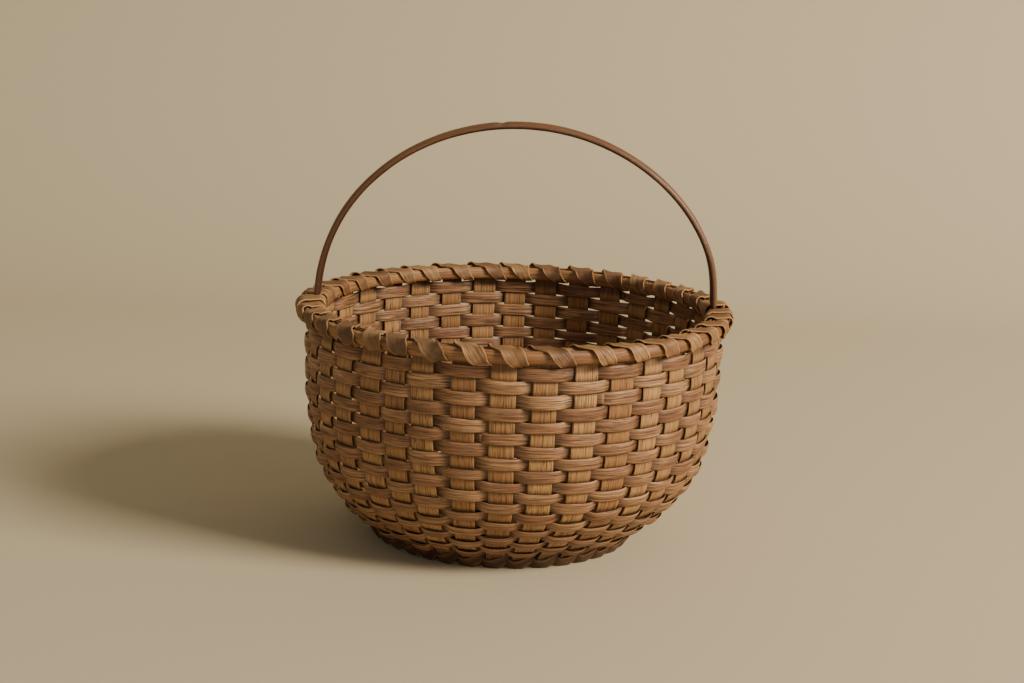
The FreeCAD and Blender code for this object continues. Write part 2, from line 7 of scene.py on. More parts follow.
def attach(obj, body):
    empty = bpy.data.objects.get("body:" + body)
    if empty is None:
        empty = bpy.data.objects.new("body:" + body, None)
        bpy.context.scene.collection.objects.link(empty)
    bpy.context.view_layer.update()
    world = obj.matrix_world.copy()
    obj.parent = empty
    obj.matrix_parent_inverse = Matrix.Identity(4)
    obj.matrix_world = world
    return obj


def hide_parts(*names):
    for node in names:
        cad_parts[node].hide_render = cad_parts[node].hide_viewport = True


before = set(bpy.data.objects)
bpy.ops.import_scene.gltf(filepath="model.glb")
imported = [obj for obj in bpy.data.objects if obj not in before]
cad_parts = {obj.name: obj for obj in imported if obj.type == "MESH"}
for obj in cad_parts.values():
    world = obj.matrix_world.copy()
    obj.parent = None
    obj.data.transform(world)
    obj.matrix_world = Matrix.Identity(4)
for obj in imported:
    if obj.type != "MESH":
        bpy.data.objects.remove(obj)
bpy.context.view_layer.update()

mm = 0.001  # the basket's lengths are in millimetres; the camera, lights and floor are in metres

# camera
camera = {"distance": 1.55, "aimHeight": 0.143, "aimSide": -0.0014, "downDegrees": 12.6, "rollDegrees": 2.1,
          "lens": 74.3, "sensor": 36.0, "clipStart": 0.05, "clipEnd": 60.0}
camData = bpy.data.cameras.new("camera")
camData.lens = camera["lens"]
camData.sensor_width = camera["sensor"]
camData.clip_start = camera["clipStart"]
camData.clip_end = camera["clipEnd"]
camObject = bpy.data.objects.new("camera", camData)
bpy.context.collection.objects.link(camObject)
down = math.radians(camera["downDegrees"])
place = (camera["aimSide"], -camera["distance"] * math.cos(down),
         camera["aimHeight"] + camera["distance"] * math.sin(down))
camObject.matrix_world = (Matrix.Translation(place) @ Matrix.Rotation(math.pi / 2 - down, 4, "X")
                          @ Matrix.Rotation(math.radians(camera["rollDegrees"]), 4, "Z"))
bpy.context.scene.camera = camObject
print("camera ready")

# small helpers
rng = np.random.default_rng(36)
noiseCount = 4096


def smooth(x):  # 0 below 0, 1 above 1, a smooth ramp between
    x = np.clip(x, 0.0, 1.0)
    return x * x * (3 - 2 * x)


def ringNoise(t, period, waves, seed):  # sum of cosines with random phases, repeating after period
    r = np.random.default_rng(seed)
    out = np.zeros_like(np.asarray(t, float))
    for n in waves:
        out = out + np.cos(2 * np.pi * n * t / period + r.uniform(0, 2 * np.pi)) / len(waves) ** 0.5
    return out


def lineNoise(x, length, seed):  # random values, one every length along x, blended smoothly
    values = np.random.default_rng(seed).uniform(-1, 1, noiseCount)
    q = np.asarray(x, float) / length + 1000
    i = np.floor(q).astype(int)
    f = smooth(q - i)
    return values[i % noiseCount] * (1 - f) + values[(i + 1) % noiseCount] * f


def runAlong(points):  # distance from the first point to each point, along the line
    return np.concatenate([[0], np.cumsum(np.linalg.norm(np.diff(points, axis=0), axis=1))])


def polar(r, angle, z):  # points at a radius, angle and height
    return np.column_stack([r * np.cos(angle), r * np.sin(angle), z])


# the wall's middle line: radius and height, from the axis under the base, up the side and to the rim
wall = {
    "points": ((0.0, 3.8), (33.6, 3.8), (67.2, 3.8), (87.0, 3.8), (93.6, 4.7), (96.0, 5.9), (97.9, 8.7),
               (102.9, 13.0), (110.3, 19.4), (119.8, 28.6), (136.4, 52.0), (145.4, 86.1), (149.1, 128.7),
               (148.8, 170.5)),
    "uprights": 36, "rimTop": 171.0, "flatRadius": 92.0, "riseRadius": 94.0, "stations": 1400, "soften": 7,
}
turn = 2 * math.pi / wall["uprights"]


def smoothLine(points, per=60):  # Catmull-Rom curve through the points
    p = np.array(points, float)
    p = np.vstack([2 * p[0] - p[1], p, 2 * p[-1] - p[-2]])
    t = np.linspace(0, 1, per, endpoint=False)[:, None]
    runs = [0.5 * (2 * b + (c - a) * t + (2 * a - 5 * b + 4 * c - d) * t ** 2 + (3 * b - a - 3 * c + d) * t ** 3)
            for a, b, c, d in zip(p[:-3], p[1:-2], p[2:-1], p[3:])]
    return np.vstack(runs + [p[-2:-1]])


def softened(values):  # a short moving average, the line continued straight past each end
    k = wall["soften"]
    kernel = np.hanning(2 * k + 1) / np.hanning(2 * k + 1).sum()
    padded = np.concatenate([2 * values[0] - values[k:0:-1], values, 2 * values[-1] - values[-2:-k - 2:-1]])
    return np.convolve(padded, kernel, "valid")


wallLine = smoothLine(wall["points"])
wallEven = np.linspace(0, runAlong(wallLine)[-1], wall["stations"])
wallR, wallZ = (softened(np.interp(wallEven, runAlong(wallLine), wallLine[:, k])) for k in (0, 1))
wallTr, wallTz = np.gradient(wallR, wallEven), np.gradient(wallZ, wallEven)
wallLength = wallEven[-1]


def onWall(s):  # radius, height and tangent at a distance s along the wall from the axis
    r, z, tr, tz = (np.interp(s, wallEven, v) for v in (wallR, wallZ, wallTr, wallTz))
    n = np.hypot(tr, tz)
    return r, z, tr / n, tz / n


def lengthAtHeight(height):  # distance along the wall, above the base's bend
    start = np.searchsorted(wallR, wall["riseRadius"])
    return float(np.interp(height, wallZ[start:], wallEven[start:]))


def lengthAtRadius(radius):  # distance along the wall, on the flat of the base
    stop = np.searchsorted(wallR, wall["flatRadius"])
    return float(np.interp(radius, wallR[:stop], wallEven[:stop]))


# uneven spacing of the uprights: each one's shift in degrees, low and high on the wall, larger at the front
spacing = {"scatter": 0.7, "highFrom": 100.0, "highRun": 180.0, "startFrom": 62.0, "startRun": 34.0}
frontUprights = slice(24, 33)
unevenLow = rng.uniform(-spacing["scatter"], spacing["scatter"], wall["uprights"])
unevenHigh = rng.uniform(-spacing["scatter"], spacing["scatter"], wall["uprights"])
unevenHigh[frontUprights] = (-2.0, -4.0, -2.6, -2.2, -1.4, -0.6, -0.4, -0.4, -1.2)
unevenLow[frontUprights] = (-1.5, -3.0, -2.2, -1.6, -1.2, -0.6, -0.2, -0.4, -0.8)


def uprightAngle(t, s):  # angle of the weave's own coordinate t (whole at each upright) at s along the wall
    t = np.asarray(t, float)
    i = np.floor(t).astype(int)
    f = smooth(t - i)
    here, after = i % wall["uprights"], (i + 1) % wall["uprights"]
    low = unevenLow[here] * (1 - f) + unevenLow[after] * f
    high = unevenHigh[here] * (1 - f) + unevenHigh[after] * f
    lift = smooth((s - spacing["highFrom"]) / spacing["highRun"])
    weight = smooth((s - spacing["startFrom"]) / spacing["startRun"])
    return t * turn + np.radians((low * (1 - lift) + high * lift) * weight)


# the hand-made shape: out of round by these shares, the rim out of level, the base off to one side
bent = {
    "oval": 0.004, "threeLobes": 0.005, "fiveLobes": 0.006, "baseShift": 5.0, "baseFade": 62.0, "bellyShift": 1.0,
    "rimTilt": 0.9, "rimWaves": 0.25, "levelFrom": 176.0, "levelRun": 60.0,
    "legShift": 2.0, "legFrom": 175.0, "legRun": 40.0, "legUntil": 235.0, "legFade": 65.0,
}


def warp(p):  # swells and shifts each height, tilts the rim, and moves the handle's right leg outwards
    x, y, z = p[:, 0].copy(), p[:, 1].copy(), p[:, 2].copy()
    angle, high = np.arctan2(y, x), np.clip(z / wall["rimTop"], 0, 1)
    belly = np.sin(np.pi * high)
    swell = (1 + bent["oval"] * np.cos(2 * angle + 0.6) * high + bent["threeLobes"] * np.cos(3 * angle + 2.0) * belly
             + bent["fiveLobes"] * np.cos(5 * angle) * belly)
    x, y = x * swell, y * swell
    x = x - bent["baseShift"] * (1 - smooth(z / bent["baseFade"])) - bent["bellyShift"] * belly
    tilt = bent["rimTilt"] * np.cos(angle - 0.25) + bent["rimWaves"] * np.cos(3 * angle + 0.8)
    z = z + high * tilt * (1 - smooth((z - bent["levelFrom"]) / bent["levelRun"]))
    leg = (smooth((p[:, 2] - bent["legFrom"]) / bent["legRun"])
           * (1 - smooth((p[:, 2] - bent["legUntil"]) / bent["legFade"])))
    x = x + bent["legShift"] * leg * (x > 0)
    return np.column_stack([x, y, z])


# meshes
uvShift = {"along": 977.0, "across": 131.0, "back": 40.0}  # sets each splint, and its back, on other grain


def outwardFaces(piece):  # turns a piece inside out if its volume is negative
    mesh = piece.data
    co = np.empty(len(mesh.vertices) * 3)
    mesh.vertices.foreach_get("co", co)
    mesh.calc_loop_triangles()
    tri = np.empty(len(mesh.loop_triangles) * 3, int)
    mesh.loop_triangles.foreach_get("vertices", tri)
    p = co.reshape(-1, 3)[tri.reshape(-1, 3)]
    if np.einsum("ij,ij->i", p[:, 0], np.cross(p[:, 1], p[:, 2])).sum() < 0:
        mesh.flip_normals()
    return piece


def makeTube(name, points, uv, facts):
    # a closed tube through n stations of m points: quads between stations and a flat face over each end
    # facts are what the finishes read: a number, one per station, or one per point; what isn't given is 0
    n, m = points.shape[:2]
    i = np.arange(n - 1)[:, None] * m + np.arange(m)[None, :]
    j = np.arange(n - 1)[:, None] * m + (np.arange(m)[None, :] + 1) % m
    quads = np.stack([i, j, j + m, i + m], -1).reshape(-1, 4).tolist()
    ends = [list(range(m))[::-1], [(n - 1) * m + k for k in range(m)]]
    mesh = bpy.data.meshes.new(name)
    mesh.from_pydata((warp(points.reshape(-1, 3)) * mm).tolist(), [], quads + ends)
    layer = mesh.uv_layers.new(name="splint")
    index = np.empty(len(mesh.loops), int)
    mesh.loops.foreach_get("vertex_index", index)
    layer.data.foreach_set("uv", (uv * mm)[index].astype(np.float32).ravel())
    for key in ("edge", "tone", "paintedShade", "grey"):
        values = np.asarray(facts.get(key, 0.0), float)
        values = values[:, None] if values.ndim == 1 else values
        attribute = mesh.attributes.new(key, "FLOAT", "POINT")
        attribute.data.foreach_set("value", np.broadcast_to(values, (n, m)).ravel().astype(np.float32))
    mesh.polygons.foreach_set("use_smooth", np.full(len(mesh.polygons), True))
    mesh.update()
    piece = bpy.data.objects.new(name, mesh)
    bpy.context.collection.objects.link(piece)
    return outwardFaces(piece)


def layOut(middle, across, normal, halfWidth, a, height):  # point = middle + across * halfWidth * a + normal * height
    return (middle[:, None, :] + across[:, None, :] * (halfWidth[:, None] * a[None, :])[..., None]
            + normal[:, None, :] * height[..., None])


def splintUv(run, halfWidth, section, shiftAlong, shiftAcross):  # along and across the splint, back and front apart
    a, b = section[:, 0], section[:, 1]
    v = halfWidth[:, None] * a[None, :] + np.where(b < 0, uvShift["back"], 0.0)[None, :]
    return np.column_stack([np.repeat(run, len(section)) + shiftAlong, v.ravel() + shiftAcross])


fibreLines = {"long": 24.0, "short": 7.0, "shortShare": 0.5, "edgeFade": 8}


def sweepStrip(name, middle, across, normal, halfWidth, thick, section, facts, seed, ridges=0.0):
    # a section carried along a path: height = thick * b + ridges * noise along each line of the section
    a, b = section[:, 0], section[:, 1]
    height = thick[:, None] * b[None, :]
    run = runAlong(middle)
    if ridges:
        fibres = np.stack([lineNoise(run, fibreLines["long"], seed * 13 + 17 * k)
                           + fibreLines["shortShare"] * lineNoise(run, fibreLines["short"], seed * 29 + 23 * k)
                           for k in range(len(section))], 1)
        height = height + ridges * fibres * np.sign(b)[None, :] * (1 - np.abs(a) ** fibreLines["edgeFade"])[None, :]
    points = layOut(middle, across, normal, halfWidth, a, height)
    uv = splintUv(run, halfWidth, section, seed * uvShift["along"], seed * uvShift["across"])
    return makeTube(name, points, uv, {"edge": np.abs(a)[None, :] ** 3, **facts})


def facingPair(across, front, back):  # a section's outline: the front from edge to edge, then the back
    return np.vstack([np.column_stack([across, front]), np.column_stack([across[::-1], back[::-1]])])


acrossRow = np.linspace(-1, 1, 11)
rowSection = facingPair(acrossRow, 0.66 - 0.36 * acrossRow ** 2 - 0.26 * np.abs(acrossRow) ** 6,
                        -0.54 + 0.22 * acrossRow ** 2 + 0.20 * np.abs(acrossRow) ** 6)
flatSection = np.array([(-1, 0.22), (-0.86, 0.44), (-0.45, 0.56), (0, 0.6), (0.45, 0.56), (0.86, 0.44), (1, 0.22),
                        (1, -0.22), (0.86, -0.42), (0, -0.46), (-0.86, -0.42), (-1, -0.22)])


def stationFrame(r, z, tr, tz, angle, offset):  # middle, up-the-wall and outward directions of a row's stations
    cos, sin = np.cos(angle), np.sin(angle)
    across = np.column_stack([tr * cos, tr * sin, tz])
    out = np.column_stack([tz * cos, tz * sin, -tr])
    middle = polar(r, angle, z) + out * offset[:, None]
    along = np.gradient(middle, axis=0)
    along /= np.linalg.norm(along, axis=1)[:, None]
    normal = np.cross(along, across)
    normal *= np.sign(np.einsum("ij,ij->i", normal, out))[:, None]
    normal /= np.linalg.norm(normal, axis=1)[:, None]
    return middle, np.cross(normal, along), normal


# where the rows lie: 19 rows from the rim down to the foot, narrower towards the foot
weave = {
    "rows": 19, "topEdge": 159.1, "footEdge": 105.6, "footShare": 0.80, "gap": 0.50, "thick": 0.95, "out": 1.95,
    "inside": 1.60, "sharp": 2.1, "perUpright": 14, "lapUprights": 2, "startStep": 11, "firstStart": 5,
    "wander": 0.6, "endWander": 0.2, "loose": 0.22, "bulge": 0.35, "lapClearance": 0.25, "lapRamp": 0.7,
    "tip": 0.35, "tipWide": 0.7, "tipThick": 0.85, "edgeRagged": 0.10, "ridges": 0.07,
}
rowEdges = [lengthAtHeight(weave["topEdge"])]
topPitch = (rowEdges[0] - weave["footEdge"]) / weave["rows"] / ((1 + weave["footShare"]) / 2)
for i in range(weave["rows"]):
    rowEdges.append(rowEdges[-1] - topPitch * (1 + (weave["footShare"] - 1) * i / (weave["rows"] - 1)))
rowMiddles = np.array([(a + b) / 2 for a, b in zip(rowEdges, rowEdges[1:])])


def edgeLine(i, t):  # the i-th boundary between rows: its nominal place and a slow wander
    wander = weave["wander"] if 0 < i < weave["rows"] else weave["endWander"]
    return rowEdges[i] + wander * ringNoise(t, wall["uprights"], (1, 2, 5, 9), 500 + i)


def wave(t):  # flattened cosine: 1 outside an even upright, -1 inside an odd one
    return np.tanh(weave["sharp"] * np.cos(np.pi * t)) / math.tanh(weave["sharp"])


def rowOffset(t, sign, seed, outReach, inReach, extraIn):  # how far the strip stands out from the wall's middle line
    side = sign * wave(t)
    bulge = np.maximum(sign * np.cos(np.pi * t), 0) ** 2 * weave["bulge"]
    loose = 1 + weave["loose"] * lineNoise(t, 1.0, seed * 3 + 1)
    offset = np.maximum(side, 0) * outReach * loose + bulge + np.minimum(side, 0) * inReach
    return side, offset + (np.minimum(side, 0) * extraIn(t) if extraIn else 0)


def rowGap(t, seed, onSide):  # the gap left between rows; the weave has opened most at the back right
    openest = np.exp(-(((t * 10) % 360 - 52) / 34) ** 2) if onSide else 0 * t
    return (weave["gap"] * (0.6 + 0.4 * lineNoise(t, 1.7, seed * 5 + 2))
            + openest * (0.35 + 1.1 * np.maximum(lineNoise(t, 2.3, seed + 77), 0)))


def wovenRow(name, low, high, sign, start, seed, count=36, firstAngle=0.0, lift=0.0, lapped=True,
             outReach=weave["out"], inReach=weave["inside"], extraIn=None):
    # a strip that passes outside and inside the uprights in turn, its ends lapped; low and high are its edges
    lap = weave["lapUprights"] if lapped else -0.03
    n = int(weave["perUpright"] * (count + lap)) + 1
    t = np.linspace(start + 0.5, start + 0.5 + count + lap, n)
    side, offset = rowOffset(t, sign, seed, outReach, inReach, extraIn)
    step = weave["thick"] + weave["lapClearance"]
    lower = (1 - smooth((t - t[0] - lap - 0.15) / weave["lapRamp"])) * lapped
    upper = smooth((t - t[0] - count + 0.85) / weave["lapRamp"]) * lapped
    offset = offset - step * (1 - side) / 2 * lower + step * (1 + side) / 2 * upper
    lo, hi = low(t), high(t)
    s = (lo + hi) / 2
    whole = count == wall["uprights"]
    half = np.abs(hi - lo) / 2 - rowGap(t, seed, whole) / 2 + weave["edgeRagged"] * lineNoise(t, 0.21, seed + 9)
    tip = smooth(np.minimum(1, np.minimum(t - t[0], t[-1] - t) / weave["tip"]))
    half = half * (weave["tipWide"] + (1 - weave["tipWide"]) * tip)
    thick = weave["thick"] * (weave["tipThick"] + (1 - weave["tipThick"]) * tip)
    r, z, tr, tz = onWall(s)
    angle = uprightAngle(t, s) if whole else firstAngle + t * 2 * np.pi / count
    middle, across, normal = stationFrame(r, z + lift, tr, tz, angle, offset)
    tone = np.random.default_rng(seed).uniform(0.0, 1.0) * 0.55 + 0.45 * (0.5 + 0.5 * lineNoise(t, 5.0, seed + 4))
    # each face gets painted shade, a darker colour, where the strip passes behind an upright, on the side that the
    # upright covers
    fromOutside = np.arccos(np.clip(sign * np.cos(np.pi * t), -1, 1)) / np.pi
    outerShade, innerShade = smooth((fromOutside - 0.40) / 0.30), smooth((0.60 - fromOutside) / 0.30)
    shade = np.where(rowSection[None, :, 1] > 0, outerShade[:, None], innerShade[:, None])
    return sweepStrip(name, middle, across, normal, half, thick, rowSection, {"tone": tone, "paintedShade": shade},
                      seed % 97, weave["ridges"])


def level(s):  # an edge that keeps one distance along the wall
    return lambda t: s + 0 * t


def joinPieces(name, pieces):  # several meshes made one piece
    for other in bpy.context.selected_objects:
        other.select_set(False)
    for piece in pieces:
        piece.select_set(True)
    bpy.context.view_layer.objects.active = pieces[0]
    bpy.ops.object.join()
    joined = bpy.context.view_layer.objects.active
    joined.name = name
    joined.data.name = name
    return joined


replaced = []


def finishPiece(piece, material, slot, *nodes):  # shows the piece in place of its CAD nodes
    piece.data.materials.append(material)
    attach(piece, "root")
    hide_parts(*nodes)
    replaced.extend(nodes)


# materials
def linear(hexColour):  # sRGB hex to linear
    values = [int(hexColour[i:i + 2], 16) / 255 for i in (1, 3, 5)]
    return tuple(v / 12.92 if v <= 0.04045 else ((v + 0.055) / 1.055) ** 2.4 for v in values) + (1.0,)


def addNode(tree, kind, settings=None, links=None):  # adds a node; links is {input: other node's output or value}
    node = tree.nodes.new(kind)
    for key, value in (settings or {}).items():
        setattr(node, key, value)
    for key, value in (links or {}).items():
        socket = node.inputs[key]
        if isinstance(value, bpy.types.NodeSocket):
            tree.links.new(value, socket)
        else:
            socket.default_value = value
    return node


# the levels of noise between which each mark fades in
marks = {"fibre": (0.35, 0.62), "ridge": (0.30, 0.50), "crack": (0.26, 0.34), "stain": (0.50, 0.72)}


def oak(name, look):
    # split oak: long fibres along the strip, darker early wood between them, and a tone of its own for each strip
    material = bpy.data.materials.new(name)
    material.use_nodes = True
    tree = material.node_tree
    tree.nodes.clear()
    uv = addNode(tree, "ShaderNodeUVMap", {"uv_map": "splint"})
    where = addNode(tree, "ShaderNodeTexCoord")

    def read(attribute):
        return addNode(tree, "ShaderNodeAttribute", {"attribute_name": attribute}).outputs["Fac"]

    def grain(long, wide, detail, roughness):  # noise stretched so that one mark is long by wide, in millimetres
        mapping = addNode(tree, "ShaderNodeMapping", {"vector_type": "POINT"},
                          {"Vector": uv.outputs["UV"], "Scale": (1 / (long * mm), 1 / (wide * mm), 1.0)})
        noise = addNode(tree, "ShaderNodeTexNoise", {"noise_dimensions": "2D"},
                        {"Vector": mapping.outputs["Vector"], "Scale": 1.0, "Detail": detail, "Roughness": roughness})
        return noise.outputs["Fac"]

    def ramp(source, low, high, first, last):
        node = addNode(tree, "ShaderNodeMapRange", {"interpolation_type": "SMOOTHSTEP"},
                       {"Value": source, "From Min": low, "From Max": high, "To Min": first, "To Max": last})
        return node.outputs["Result"]

    def sums(operation, *values):
        return addNode(tree, "ShaderNodeMath", {"operation": operation}, dict(enumerate(values))).outputs[0]

    def mix(factor, colour, hexColour):  # inputs 6 and 7 are the node's two colours
        return addNode(tree, "ShaderNodeMix", {"data_type": "RGBA"},
                       {0: factor, 6: colour, 7: linear(look[hexColour])}).outputs[2]

    fibre = grain(look["fibreLong"], look["fibreWide"], 3.0, 0.6)
    ridge = grain(look["ridgeLong"], look["ridgeWide"], 2.0, 0.5)
    streak = grain(look["streakLong"], look["streakWide"], 2.0, 0.55)
    crack = grain(look["crackLong"], look["crackWide"], 1.0, 0.4)
    stain = addNode(tree, "ShaderNodeTexNoise", {"noise_dimensions": "3D"},
                    {"Vector": where.outputs["Object"], "Scale": 26.0, "Detail": 3.0, "Roughness": 0.55})
    # from dark to light by streaks and the strip's own tone, then the marks, cut edges and painted shade on
    # tucked-away stretches over it
    lightness = sums("MULTIPLY_ADD", streak, look["streakShare"], read("tone"))
    colour = mix(ramp(lightness, 0.25, 0.95 + look["streakShare"], 0.0, 1.0), linear(look["deep"]), "light")
    colour = mix(ramp(fibre, *marks["fibre"], look["fibreShare"], 0.0), colour, "fibre")
    colour = mix(ramp(ridge, *marks["ridge"], look["ridgeShare"], 0.0), colour, "groove")
    colour = mix(ramp(crack, *marks["crack"], look["crackShare"], 0.0), colour, "crack")
    colour = mix(ramp(stain.outputs["Fac"], *marks["stain"], 0.0, look["stainShare"]), colour, "stain")
    colour = mix(sums("MULTIPLY", read("edge"), look["edgeShare"]), colour, "edge")
    # painted shade: the crack colour laid where a splint passes behind or under another, where shade falls
    colour = mix(sums("MULTIPLY", read("paintedShade"), look["paintedShadeShare"]), colour, "crack")
    colour = mix(sums("MULTIPLY", read("grey"), look["greyShare"]), colour, "greyed")
    relief = sums("ADD", sums("MULTIPLY_ADD", ridge, 1.4, fibre), ramp(crack, *marks["crack"], -1.2, 0.0))
    bump = addNode(tree, "ShaderNodeBump", {},
                   {"Height": relief, "Strength": look["bump"], "Distance": look["bumpMm"] * mm})
    rough = ramp(fibre, 0.3, 0.7, look["rough"] + 0.08, look["rough"] - 0.06)
    shader = addNode(tree, "ShaderNodeBsdfPrincipled", {}, {
        "Base Color": colour, "Roughness": rough, "IOR": 1.5, "Normal": bump.outputs["Normal"]})
    addNode(tree, "ShaderNodeOutputMaterial", {}, {"Surface": shader.outputs["BSDF"]})
    return material


common = {
    "fibreLong": 14.0, "fibreWide": 0.45, "ridgeLong": 46.0, "ridgeWide": 1.1, "streakLong": 70.0, "streakWide": 3.2,
    "crackLong": 20.0, "crackWide": 0.7, "streakShare": 0.6, "fibreShare": 0.35, "ridgeShare": 0.4, "crackShare": 0.5,
    "stainShare": 0.35, "edgeShare": 0.35, "paintedShadeShare": 0.72, "greyShare": 0.8, "greyed": "#57452F",
    "bump": 0.8, "bumpMm": 0.25, "rough": 0.55,
}
# weavers: thin split white oak, worn to a satin by handling, redder where the light has not bleached it
weaverOak = oak("satin-split-white-oak", {
    **common, "deep": "#74442A", "light": "#D2A676", "fibre": "#4E2B14", "groove": "#54301A", "crack": "#2B1507",
    "stain": "#57331A", "edge": "#C29663", "edgeShare": 0.25, "fibreShare": 0.7, "ridgeShare": 0.65,
    "streakShare": 1.5, "fibreWide": 0.7, "fibreLong": 22.0, "ridgeWide": 1.5, "streakWide": 2.8, "bump": 1.0,
    "bumpMm": 0.35, "rough": 0.45})
# uprights: thicker split white oak with raised fibres, bleached to honey
uprightOak = oak("raised-grain-white-oak", {
    **common, "deep": "#94683C", "light": "#C79C66", "fibre": "#7A4F2A", "groove": "#6B4223", "crack": "#3A1F0C",
    "stain": "#7A5230", "edge": "#A97E4D", "ridgeWide": 1.2, "ridgeShare": 0.55, "crackShare": 0.75,
    "stainShare": 0.25, "bump": 1.0, "bumpMm": 0.4, "rough": 0.62})
# foot: wide split oak, darker than the wall above
footOak = oak("darker-foot-oak", {
    **common, "deep": "#3C210F", "light": "#684324", "fibre": "#331C0D", "groove": "#3A200F", "crack": "#1B0D05",
    "stain": "#34200F", "edge": "#9A6E3F"})
# hoops: shaved half-round white oak, smoother than the splints
hoopOak = oak("shaved-white-oak", {
    **common, "deep": "#74492A", "light": "#B48654", "fibre": "#6A4122", "groove": "#6A4122", "crack": "#341B0B",
    "stain": "#5C3A20", "edge": "#A87B4A", "edgeShare": 0.1, "ridgeWide": 1.5, "streakWide": 3.0, "ridgeShare": 0.6,
    "streakShare": 1.0, "rough": 0.5, "paintedShadeShare": 0.0})
# lashing: thin splint with the grain's fine grooves and paler cut edges
lashOak = oak("grooved-oak-lashing", {
    **common, "deep": "#6E482A", "light": "#AE8558", "fibre": "#5A3A1F", "groove": "#53351B", "crack": "#2C180A",
    "stain": "#5B4128", "edge": "#CF9F68", "edgeShare": 0.75, "ridgeWide": 1.0, "ridgeShare": 0.55, "bump": 0.9,
    "paintedShadeShare": 0.0})
# handle: shaved white oak, dark and polished by years of hands
handleOak = oak("hand-polished-oak", {
    **common, "deep": "#3F2412", "light": "#6E452A", "fibre": "#3A2112", "groove": "#3F2414", "crack": "#22120A",
    "stain": "#33200F", "edge": "#8A6038", "edgeShare": 0.3, "ridgeWide": 2.4, "streakWide": 4.0, "fibreWide": 0.7,
    "ridgeShare": 0.3, "crackShare": 0.2, "rough": 0.42, "bump": 0.4, "paintedShadeShare": 0.0})
print("materials ready")

# uprights: 18 splints laid across each other under the base, each bent up the wall at both ends
upright = {
    "splints": 18, "thick": 1.15, "waistThick": 0.55, "waistWide": 5.0, "discWide": 9.6, "discRadius": 53.0,
    "footWide": 12.2, "footRadius": 96.0, "rimWide": 16.6, "rimRadius": 146.0, "waistRadius": 15.5, "waistEnd": 26.5,
    "stackClearance": 0.08, "discGap": 6.6, "innerEnd": 62.5, "common": 74.0, "press": 0.45, "step": 2.2,
    "firstSeed": 100, "topInset": 0.3, "uncovered": 8.0, "frontRidges": 0.13, "backRidges": 0.10, "ridgeLong": 26.0,
}
acrossUpright = np.linspace(-1, 1, 17)
uprightSection = facingPair(acrossUpright, 0.5 - 0.12 * np.abs(acrossUpright) ** 6,
                            -0.5 + 0.12 * np.abs(acrossUpright) ** 6)


def stackLevel(j):  # height of a splint over its disc where they all cross; odd splints are the upper disc
    step = upright["waistThick"] + upright["stackClearance"]
    return (j // 2) * step + (0.0 if j % 2 == 0 else 9 * step - upright["discGap"])


def pressed(k, s):  # how far the rows push an upright in and out on its way up, and which side they cover
    signs = np.array([1.0 if (i + k) % 2 == 0 else -1.0 for i in range(len(rowMiddles))])
    order = np.argsort(rowMiddles)
    cover = np.interp(s, rowMiddles[order], signs[order], left=0, right=0)
    return -upright["press"] * np.sin(cover * np.pi / 2), cover


def raisedFibres(s, seed):  # each line across the face keeps its own height, slowly changing along the splint
    front = [upright["frontRidges"] * lineNoise(s + line * 37, upright["ridgeLong"], seed * 7 + line)
             for line in range(len(acrossUpright))]
    back = [-upright["backRidges"] * lineNoise(s + line * 31, upright["ridgeLong"], seed * 7 + 40 + line)
            for line in range(len(acrossUpright))]
    return np.stack(front + back[::-1], 1)


